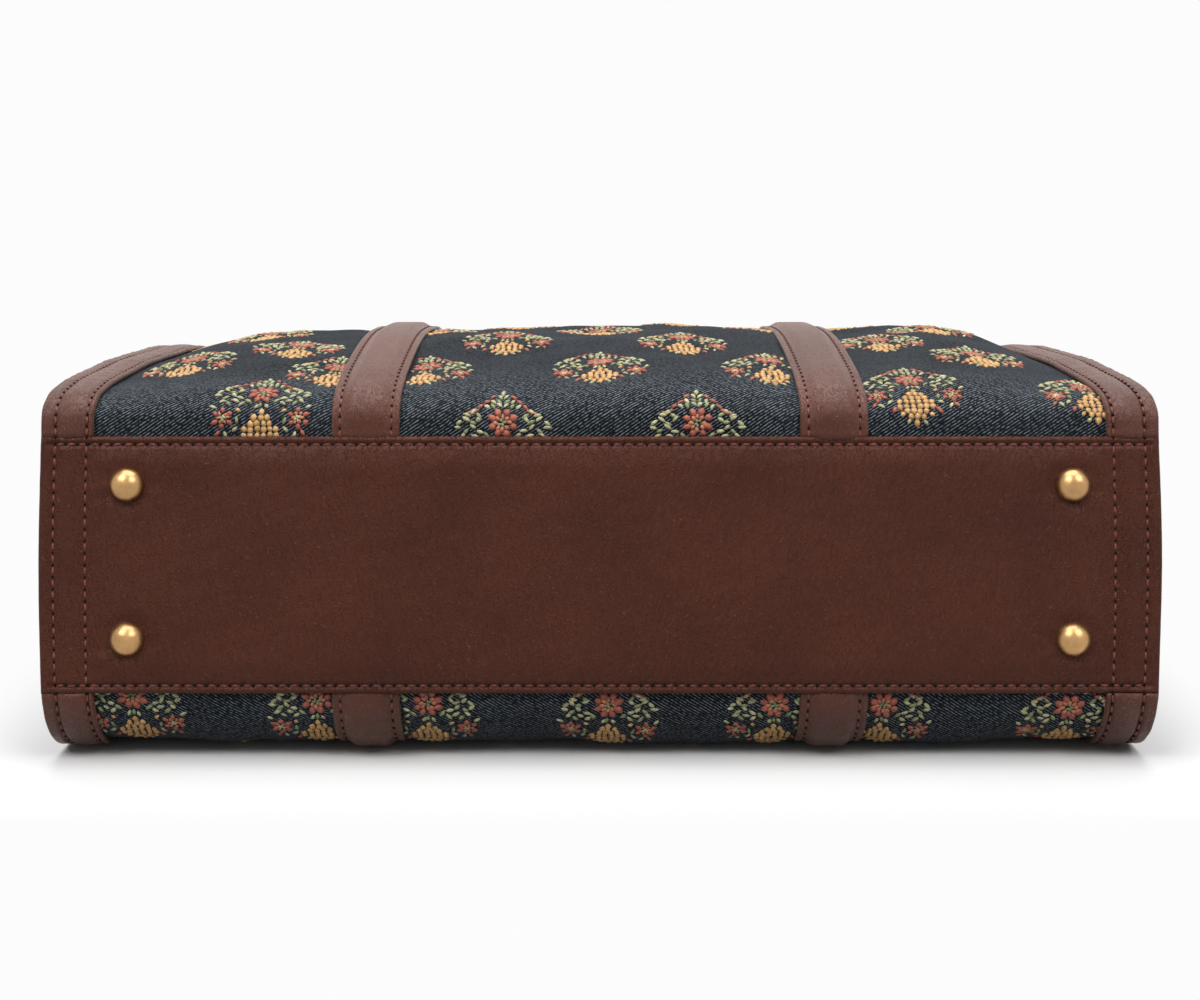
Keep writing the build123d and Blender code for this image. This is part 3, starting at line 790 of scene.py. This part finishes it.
# Woven sprigs: each is over a hundred short stitches in five colours. Their places, in
# millimetres along the bag and from the bottom panel's edge, follow the photo where it
# shows them and a half-drop lattice beyond.
COLUMN_PITCH = 70.0
ROW_PITCH = 43.3
FRONT_SPRIGS = [
    (-122, 19), (-35, 5), (35, 5), (114, 30), (179, 31),
    (-100, 52), (-66, 52), (0, 53), (64, 51), (147, 75), (-159, 70),
    (-120, 90), (-37, 94), (33, 93), (113, 101),
]
BACK_SPRIGS = [
    (-168, 1), (-102, 3), (-62, 4), (3, 5), (63, 5), (102, 5), (169, 6),
    (-132, 44), (-35, 48), (35, 48), (135, 50),
]
UNEVEN = 0.17
SPRIG_OUT = 0.05
stitches = []


def dash(colour, x, y, angle, long, wide):
    """One stitch of the sprig."""
    stitches.append((colour, x, y, angle, long, wide))


def both_sides(colour, x, y, angle, long, wide):
    """A stitch and its mirror image."""
    dash(colour, x, y, angle, long, wide)
    dash(colour, -x, y, pi - angle, long, wide)


def flower(x, y, size, petals, outer, heart, mirrored=False):
    """A round flower: plump petals, a ring of smaller ones inside and a small heart."""
    sew = both_sides if mirrored else dash
    for petal in range(petals):
        turn = 2 * pi * (petal + 0.5) / petals
        sew(outer, x + 0.7 * size * cos(turn), y + 0.7 * size * sin(turn), turn, 0.6 * size, 0.5 * size)
        turn = 2 * pi * petal / petals
        sew("coral", x + 0.4 * size * cos(turn), y + 0.4 * size * sin(turn), turn, 0.42 * size, 0.3 * size)
    for step in range(4):
        turn = 2 * pi * step / 4 + 0.3
        sew(heart, x + 0.15 * size * cos(turn), y + 0.15 * size * sin(turn), turn, 1.7, 1.1)


def cone(y, wide, high):
    """A golden diamond of rounded scales, stitched in staggered rows."""
    rows = 8
    pitch = 2.3
    for row in range(rows):
        share = (row + 0.5) / rows
        reach = wide / 2 * (1 - abs(2 * share - 1) ** 1.4)
        count = max(round(2 * reach / pitch), 1)
        for step in range(count):
            across = (step - (count - 1) / 2) * pitch
            lean_in = pi / 2 + 0.5 * across / wide * (1 if share > 0.5 else -1)
            dash("gold", across, y - high / 2 + high * share, lean_in, 2.8, 2.4)


def crest():
    """The pointed crest over the flower: rows of leaves in chevrons with rust edges."""
    dash("cream", 0, 14.0, pi / 2, 3.4, 1.9)
    for row, level in enumerate((11.7, 9.5, 7.4)):
        for step in range(row + 1):
            x = 1.2 + 2.3 * step
            shade = "green" if (row + step) % 2 else "cream"
            both_sides(shade, x, level - 0.5 * step, 1.0, 2.9, 1.6)
        both_sides("red", 3.5 + 2.3 * row, level - 0.5 * row, 2.4, 3.0, 1.5)
    both_sides("red", 9.8, 4.4, 2.6, 3.0, 1.4)
    both_sides("coral", 12.0, 3.6, 2.6, 2.4, 1.2)


def leaf_rows():
    """The two wide wings of leaves beside the flower, in staggered rows."""
    rows = ((3.2, 7.4, 13.6), (0.4, 7.0, 16.8), (-2.6, 6.6, 17.4), (-5.6, 4.2, 15.4))
    for row, (level, first, last) in enumerate(rows):
        count = max(round((last - first) / 2.4), 2)
        for step in range(count):
            x = first + (last - first) * (step + 0.5) / count
            lift = 0.9 if (step + row) % 2 else -0.5
            angle = (0.75, 2.5, 0.25)[(step + row) % 3]
            shade = "cream" if (step * 2 + row) % 3 else "green"
            both_sides(shade, x, level + lift, angle, 3.0, 1.6)
    both_sides("cream", 1.7, -7.4, 2.2, 2.4, 1.5)
    dash("green", 0, -6.8, pi / 2, 2.4, 1.5)


def small_bits():
    """Leaves and buds beside the cone."""
    for shade, x, y, angle, long, wide in (
        ("gold", 8.0, -9.2, 0.4, 2.0, 1.6),
        ("green", 8.7, -13.0, 1.3, 2.8, 1.4),
        ("cream", 9.2, -16.4, 2.3, 2.8, 1.5),
        ("cream", 12.4, -18.0, 1.0, 2.6, 1.4),
        ("red", 15.0, -17.6, 2.1, 3.0, 1.5),
        ("red", 8.0, -20.2, 2.1, 3.4, 1.8),
        ("gold", 5.0, -22.2, 2.4, 2.2, 1.8),
        ("cream", 3.2, -24.6, 2.2, 2.2, 1.4),
        ("cream", 17.2, -7.8, 0.6, 2.8, 1.4),
    ):
        both_sides(shade, x, y, angle, long, wide)


flower(0, 0, 5.8, 8, "red", "green")
flower(13.6, -12.2, 4.3, 6, "red", "cream", mirrored=True)
cone(-17.5, 13.5, 17.0)
crest()
leaf_rows()
small_bits()


def sprig_centres(seen, first_row, face):
    """Places of the sprigs on a face: those seen in the photo, then the lattice."""
    centres = list(seen)
    row = first_row
    while row * ROW_PITCH < face.rim_s:
        shift = 0.5 if row % 2 == 0 else 0.0
        for column in range(-3, 4):
            centres.append(((column + shift) * COLUMN_PITCH, 6 + row * ROW_PITCH))
        row += 1
    return [(x, s) for x, s in centres if abs(x) < CLOTH_EDGE + 14]


def covered(x, s, face):
    """Where leather or padding lies over the cloth."""
    under_strap = np.abs(np.abs(x) - STRAP_X) < STRAP_WIDTH / 2 + 0.2
    past_band = np.abs(x) > CLOTH_EDGE + 0.8
    return under_strap | past_band | (s < -1.5) | (s > face.rim_s - BINDING_WIDTH + 1)


def sprig_stitches(colour, centres, upright):
    """Every stitch of one colour on a face: x, s, angle, length and width, a little uneven."""
    mine = np.array([stitch[1:] for stitch in stitches if stitch[0] == colour])
    sets = []
    for cx, cs in centres:
        jitter = rng.normal(0, UNEVEN, (len(mine), 2))
        slant = rng.normal(0, UNEVEN, len(mine))
        growth = rng.uniform(0.86, 1.12, (len(mine), 2))
        x = cx + mine[:, 0] + jitter[:, 0]
        s = cs + upright * (mine[:, 1] + jitter[:, 1])
        sets.append(np.column_stack([x, s, upright * mine[:, 2] + slant, mine[:, 3:] * growth]))
    return np.concatenate(sets).T


def sew_sprigs(face, name, centres, upright):
    """Lays every sprig's stitches on a face, left out where leather covers the cloth."""
    for colour, material in sprig_threads.items():
        sewn = sprig_stitches(colour, centres, upright)
        x, s, angle, long, wide = sewn[:, ~covered(*sewn[:2], face)]
        at = face.at(x, s, cloth_relief(x, s) + SPRIG_OUT)
        on_x, on_s = x + np.cos(angle), s + np.sin(angle)
        ways = unit(face.at(on_x, on_s, cloth_relief(on_x, on_s) + SPRIG_OUT) - at)
        normals = face.normal(x, s)
        normals = unit(normals - ways * (normals * ways).sum(-1, keepdims=True))
        points, faces = thread_shape(at, ways, normals, long, wide / 2, 0.3 + 0.1 * wide)
        piece = make_object(f"{name}_{colour}", points, faces, material)


sew_sprigs(front, "front_sprigs", sprig_centres(FRONT_SPRIGS, 3, front), 1)
sew_sprigs(back, "back_sprigs", sprig_centres(BACK_SPRIGS, 2, back), -1)

# Side bands: leather folded under at its inner edge, sewn twice
BAND_THICK = 2.4
BAND_PILLOW = 0.45
BAND_GROOVE = 0.75
FOLD_RADIUS = 1.2
BAND_ROLL = 0.9


def band_profile():
    """Distances from the bag's end and heights over the cloth, once round the band's cut."""
    width = HALF - CLOTH_EDGE
    folding = np.linspace(-pi / 2, pi / 2, 9)
    inner_fold = [(width + FOLD_RADIUS * (cos(a) - 1), FOLD_RADIUS * (1 + sin(a))) for a in folding]
    top = []
    for d in np.linspace(width - 1.6, 1.0, 32):
        high = BAND_THICK + BAND_PILLOW * bump((d - SEAM_MIDDLE) / PILLOW_REACH)
        for mark in SIDE_STITCHES:
            high -= BAND_GROOVE * bump((d - mark) / 1.6)
        top.append((d, high))
    rolling = np.linspace(pi / 2, 0, 6)
    outer = [(BAND_ROLL * (1 - cos(a)), BAND_THICK + BAND_ROLL * (sin(a) - 1)) for a in rolling]
    return np.array(inner_fold + top + outer + [(0.0, 0.6), (0.4, 0.1)])


def band(face, name, side, side_name):
    """A side band along a face, and its two seams."""
    profile = band_profile()
    ss = np.linspace(-0.4, face.rim_s - 0.2, 170)
    wave = 0.18 * fine_ripple(ss * 0.7 + 40 * side, ss * 0.2)
    x = side * (HALF - profile[:, 0])
    rings = [face.at(x, np.full(len(x), s), profile[:, 1] + 0.1 + w) for s, w in zip(ss, wave)]
    piece = make_object(f"{name}_side_band_{side_name}", *tube(np.array(rings)), strap_leather)
    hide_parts(f"{name}_band_{side_name}")
    for mark in SIDE_STITCHES:
        x = np.full_like(ss, side * (HALF - mark))
        stitch_line(face.at(x, ss, BAND_THICK - 0.45), face.normal(x, ss))


for side, side_name in ((-1, "left"), (1, "right")):
    band(front, "front", side, side_name)
    band(back, "back", side, side_name)
# Handles: padded straps with flat sewn edges
STRAP_FLAT = 1.5
STRAP_PAD = 1.8
STRAP_GROOVE = 0.45
UNDER_PAD = 0.6
STRAP_OFF_CLOTH = 0.2
EDGE_LOW = 0.35
RUN_START = -1.2
RUN_POINTS = 130
FEWEST_PAD = 0.35


def strap_profile(under, fullness):
    """Places across the strap and heights over its underside, once round its cut."""
    half = STRAP_WIDTH / 2
    top = []
    for w in np.linspace(-half + 0.5, half - 0.5, 31):
        from_edge = half - abs(w)
        pad = STRAP_PAD * fullness * smooth_step((from_edge - 3.2) / 4.0)
        groove = STRAP_GROOVE * bump((from_edge - EDGE_STITCH) / 1.1)
        top.append((w, STRAP_FLAT + pad - groove))
    bottom = []
    for w in np.linspace(half - 0.5, 0.5 - half, 11):
        bottom.append((w, -under * smooth_step((half - abs(w) - 3.4) / 5.0)))
    edge_high = STRAP_FLAT - STRAP_GROOVE
    right = [(half, edge_high), (half, EDGE_LOW)]
    left = [(-half, EDGE_LOW), (-half, edge_high)]
    return np.array(top + right + bottom + left)


def leg_path(leave, way, land, count=46):
    """Smooth curve from the rim to where the loop starts, with a share of the way for each point."""
    t = np.linspace(0, 1, count)[:, None]
    reach = np.linalg.norm(land - leave)
    return hermite(leave, land, way * reach, np.array([0, 1.0, 0]) * reach, t), t[:, 0]


def front_run():
    """The front strap's line over its face, from base to rim, and its outward directions."""
    ss = np.linspace(RUN_START, front.rim_s, RUN_POINTS)
    near_rim = smooth_step((ss - (front.rim_s - BINDING_WIDTH - 10)) / 9)
    x = np.full_like(ss, -STRAP_X)
    return front.at(x, ss, STRAP_OFF_CLOTH + BINDING_OUT * near_rim), front.normal(x, ss)


def back_run():
    """The back strap's line: round the lower edge, then flat on the floor beside the sag."""
    ss = np.linspace(RUN_START, back.rim_s, RUN_POINTS)
    x = np.full_like(ss, -CLOTH_EDGE)
    run = back.at(x, ss)
    run[:, 0] = -STRAP_X
    run[:, 2] -= BINDING_OUT * smooth_step((ss - (back.rim_s - RIM_STRAIGHT - 20)) / 20)
    return run, back.normal(x, ss)


def free_half(run, normals, land_v, radius):
    """Half of the free loop: its line, widths and outward directions, from rim to middle."""
    land = np.array([-radius, HEIGHT + LEG_REACH, land_v])
    path, share = leg_path(run[-1], unit(run[-1] - run[-2]), land)
    tangents = unit(np.gradient(path, axis=0))
    flat = unit(np.array([1.0, 0, 0]) - tangents * tangents[:, :1])
    up = np.cross(tangents, flat)
    side_sign = 1.0 if (up[0] * normals[-1]).sum() > 0 else -1.0
    turn = (pi / 2 * smooth_step(share))[:, None]
    leg_widths = flat * np.cos(turn) - up * np.sin(turn)
    leg_normals = (up * np.cos(turn) + flat * np.sin(turn)) * side_sign
    arc = np.linspace(0, pi / 2, 30)[1:]
    still = np.zeros_like(arc)
    loop = land + radius * np.stack([1 - np.cos(arc), np.sin(arc), still], -1)
    outward_sign = 1.0 if leg_normals[-1, 0] > 0 else -1.0
    inward = np.stack([np.cos(arc), -np.sin(arc), still], -1)
    return (
        np.concatenate([path[1:], loop]),
        np.concatenate([leg_widths[1:], np.tile(leg_widths[-1], (len(arc), 1))]),
        np.concatenate([leg_normals[1:], inward * outward_sign]),
    )


def whole_strap(first_half):
    """A half strap and its mirror image, as one line of points or directions."""
    return np.concatenate([first_half, first_half[-2::-1] * [-1.0, 1, 1]])


def handle(name, face, run, normals, radius):
    """One strap from base to base with its free loop."""
    normals = unit(normals * [0, 1, 1])
    on_face = len(run)
    widths = np.tile([1.0, 0, 0], (on_face, 1))
    halves = zip((run, widths, normals), free_half(run, normals, STRAP_WIDTH / 2, radius))
    centre, width, normal = (whole_strap(np.concatenate(pair)) for pair in halves)
    whole = len(centre)
    place = np.arange(whole)
    from_base = np.minimum(place, place[::-1]) * face.rim_s / on_face
    is_free = (place >= on_face) & (place < whole - on_face)
    ripple = 0.14 * np.sin(from_base * 1.15) * np.exp(-(((from_base - 13) / 7) ** 2))
    fullness = FEWEST_PAD + (1 - FEWEST_PAD) * smooth_step((from_base - 1) / 9) + ripple
    rings = []
    for index in place:
        profile = strap_profile(UNDER_PAD * is_free[index], fullness[index])
        rings.append(centre[index] + profile[:, :1] * width[index] + profile[:, 1:] * normal[index])
    piece = make_object(f"{name}_strap", *tube(np.array(rings)), strap_leather)
    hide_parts(f"handle_{name}", f"strap_{name}_left", f"strap_{name}_right")
    free = slice(on_face + 4, whole - on_face - 4)
    for edge in (-1, 1):
        at = edge * (STRAP_WIDTH / 2 - EDGE_STITCH)
        stitch_line(centre + at * width + 1.12 * normal, normal)
        stitch_line(centre[free] + at * width[free] - 0.02 * normal[free], -normal[free])


handle("front", front, *front_run(), FRONT_LOOP_RADIUS)
handle("back", back, *back_run(), STRAP_X)

# Gussets: leather walls pushed out a little by the contents, with turned flanges
WALL_ROWS = 64
WALL_COLUMNS = 42
WALL_SUNK = 6.0
WALL_SWELL = 5.0
WALL_THICK = 1.4
BEHIND_FACE = -1.5
WALL_MIDDLE = np.array([0, 160.0, 65.0])
# The flange's cut: distances in from the bag's end and towards the wall's middle
FLANGE_CUT = ((0.6, -0.2), (0.2, 0.6), (0.6, 1.4), (6.6, 1.6), (6.6, -0.2))
wall_crease = Noise(40.0)


def gusset(side, name, replaced):
    """A side wall with its seam flange, closed round the bag's outline."""
    ss = np.linspace(0, 1, WALL_ROWS)
    upper, lower = (
        face.at(np.full(WALL_ROWS, side * HALF), ss * (face.rim_s + 2) - 2, BEHIND_FACE)
        for face in (front, back)
    )
    t = np.linspace(0, 1, WALL_COLUMNS)
    wall = lower[:, None] * (1 - t)[None, :, None] + upper[:, None] * t[None, :, None]
    swell = np.sin(pi * t)[None] ** 0.6 * smooth_step(ss / 0.12)[:, None]
    swell = swell * (1 - 0.6 * smooth_step((ss - 0.55) / 0.45))[:, None]
    crease = wall_crease(wall[..., 1], wall[..., 2]) * np.sin(pi * t)[None]
    outer = wall.copy()
    outer[..., 0] = side * (HALF - WALL_SUNK + WALL_SWELL * swell + 0.7 * crease * swell)
    inner = outer.copy()
    inner[..., 0] -= side * WALL_THICK
    flange_path = np.concatenate([upper[::-1], lower])
    inward = unit((WALL_MIDDLE - flange_path) * [0, 1, 1])
    rings = [
        [at + [-side * from_end, 0, 0] + way * deep for from_end, deep in FLANGE_CUT]
        for at, way in zip(flange_path, inward)
    ]
    piece = make_object(name, *join([closed_sheet(outer, inner), tube(np.array(rings))]), edge_leather)
    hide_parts(replaced)


gusset(-1, "side_gusset_left", "gusset_left")
gusset(1, "side_gusset_right", "gusset_right")

# Rim bindings: leather folded over each rim and sewn
INNER_LOW = -3.2
RIM_GROOVE = 0.5


def binding_profile():
    """Distances down from the rim and heights over the cloth, once round the binding's cut."""
    profile = []
    for at in np.linspace(BINDING_WIDTH, 1.0, 30):
        groove = RIM_GROOVE * bump((at - BINDING_WIDTH + EDGE_STITCH) / 1.2)
        profile.append((at, BINDING_OUT - groove))
    middle = (BINDING_OUT + INNER_LOW) / 2
    for a in np.linspace(pi / 2, -pi / 2, 11)[1:-1]:
        profile.append((-1.6 * cos(a) + 0.8, middle + (BINDING_OUT - middle) * sin(a)))
    for at in np.linspace(1.0, BINDING_WIDTH, 20):
        profile.append((at, INNER_LOW))
    return np.array(profile + [(BINDING_WIDTH, -1.7), (1.5, -1.6), (1.5, 0.3), (BINDING_WIDTH, 0.4)])


def rim_binding(face, name, replaced, drop):
    """A leather strip folded over a face's rim, with one seam."""
    profile = binding_profile()
    xs = np.linspace(-CLOTH_EDGE + 0.3, CLOTH_EDGE - 0.3, 130)
    way = unit(face.at(0.0, face.rim_s) - face.at(0.0, face.rim_s - 5))
    normal = face.normal(0.0, face.rim_s - 2)
    corners = face.at(xs, face.rim_s)
    rings = []
    for x, corner in zip(xs, corners):
        ripple = 0.12 * fine_ripple(x * 0.6, drop)
        rings.append(corner - profile[:, :1] * way + (profile[:, 1:] + ripple) * normal)
    piece = make_object(name, *tube(np.array(rings)), strap_leather)
    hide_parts(replaced)
    seam = corners - way * (BINDING_WIDTH - EDGE_STITCH) + normal * 1.55
    stitch_line(seam, np.broadcast_to(normal, seam.shape))


rim_binding(front, "front_rim_leather", "rim_binding_front", 0.0)
rim_binding(back, "back_rim_leather", "rim_binding_back", 50.0)

# The zip, the lining and the bottom's inner pieces keep their CAD shapes and get their finish
brass_nodes = ["foot_washers", "zip_teeth_front", "zip_teeth_back", "zip_stops", "zip_slider", "zip_pull"]
for material, node_names in (
    (board, ["base_board"]),
    (satin_brass, brass_nodes),
    (lining_cloth, ["lining", "laptop_divider"]),
    (edge_leather, ["zip_wing_front", "zip_wing_back"]),
    (tape_cloth, ["zip_tape_front", "zip_tape_back"]),
    (strap_leather, ["zip_end_tab_left", "zip_end_tab_right"]),
):
    for node_name in node_names:
        for material_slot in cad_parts[node_name].material_slots:
            material_slot.material = material

# Seams of the whole bag, joined: the threads, and the needle holes as near-black painted shade
for name, bits, material in (("threads", thread_bits, seam_thread), ("holes", hole_shade_bits, hole_painted_shade)):
    seams = make_object("seam_" + name, *join(bits), material)

# Floor, light and camera
WHITE = 0.975
WORLD_LIGHT = 0.22
FLOOR_REACH = 30.0
FLOOR_BOUNCE = (0.3, 0.3, 0.3, 1)
FLOOR_SEEN = (0.8, 0.8, 0.8, 1)
FLOOR_FADE = 0.06
PLAIN_LIGHT = (1, 1, 1, 1)
CAMERA_BACK = 578.9
CAMERA_UP = 199.7
CAMERA_TILT = radians(80)
CAMERA_LENS = 50.4
scene = bpy.context.scene
scene.view_settings.view_transform = "Standard"


def seen_directly(look):
    """1 for what the camera sees straight, in a reflection or through glass, else 0."""
    rays = look.add("LightPath").outputs
    seen = look.maths("MAXIMUM", rays["Is Camera Ray"], rays["Is Glossy Ray"])
    return look.maths("MAXIMUM", seen, rays["Is Transmission Ray"])


def distance_outside(look):
    """How far a place on the floor is outside the bag's footprint, in metres."""
    corner = (HALF * MM, -base_y, 0)
    mirrored = look.maths("ABSOLUTE", look.place(), kind="VectorMath", out="Vector")
    past = look.maths("SUBTRACT", mirrored, corner, kind="VectorMath", out="Vector")
    outside = look.maths("MAXIMUM", past, kind="VectorMath", out="Vector")
    return look.maths("LENGTH", outside, kind="VectorMath")


def stage_floor():
    """A plain pale floor that keeps the bag's shadow and turns plain white away from it."""
    mesh = bpy.data.meshes.new("floor")
    reach = FLOOR_REACH
    corners = [(-reach, -reach, 0), (reach, -reach, 0), (reach, reach, 0), (-reach, reach, 0)]
    mesh.from_pydata(corners, [], [(0, 1, 2, 3)])
    look = Nodes(bpy.data.materials.new("pale_floor"))
    seen = seen_directly(look)
    tone = look.add("MixRGB", Fac=seen, Color1=FLOOR_BOUNCE, Color2=FLOOR_SEEN).outputs["Color"]
    mesh.materials.append(look.material(Base_Color=tone, Roughness=0.8, Specular_IOR_Level=0.1))
    far = look.smooth_range(distance_outside(look), 0.0, FLOOR_FADE)
    lit = look.tree.nodes["Principled BSDF"].outputs["BSDF"]
    plain = look.add("Emission", Strength=WHITE).outputs["Emission"]
    look.blend(look.maths("MULTIPLY", far, seen), lit, plain, "Material Output")
    floor = bpy.data.objects.new("floor", mesh)
    scene.collection.objects.link(floor)


def stage_world():
    """Even pale light from all round, and white where the camera sees past the floor."""
    look = Nodes(bpy.data.worlds.new("studio"))
    scene.world = look.owner
    light = look.feed(look.tree.nodes["Background"], Color=PLAIN_LIGHT, Strength=WORLD_LIGHT)
    white = look.add("Background", Color=PLAIN_LIGHT, Strength=WHITE)
    look.blend(seen_directly(look), light.outputs[0], white.outputs[0], "World Output")


def area_light(name, place, target, size, power):
    """A soft square lamp aimed at a point, in metres."""
    data = bpy.data.lights.new(name, "AREA")
    data.size = size
    data.energy = power
    lamp = bpy.data.objects.new(name, data)
    scene.collection.objects.link(lamp)
    lamp.location = place
    lamp.rotation_euler = (Vector(target) - Vector(place)).to_track_quat("-Z", "Y").to_euler()


stage_floor()
stage_world()
middle = (0.0, base_y + 0.1, 0.07)
area_light("key", (-0.8, base_y - 0.8, 1.5), middle, size=0.9, power=17)
area_light("fill", (0.9, base_y - 0.8, 1.4), middle, size=0.9, power=13.5)
area_light("top", (0.0, base_y + 0.4, 1.7), middle, size=1.6, power=28)

camera_data = bpy.data.cameras.new("camera")
camera_data.lens = CAMERA_LENS
camera_data.sensor_width = 36.0
camera = bpy.data.objects.new("camera", camera_data)
scene.collection.objects.link(camera)
camera.location = (0, base_y - CAMERA_BACK * MM, CAMERA_UP * MM)
camera.rotation_euler = (CAMERA_TILT, 0, 0)
scene.camera = camera
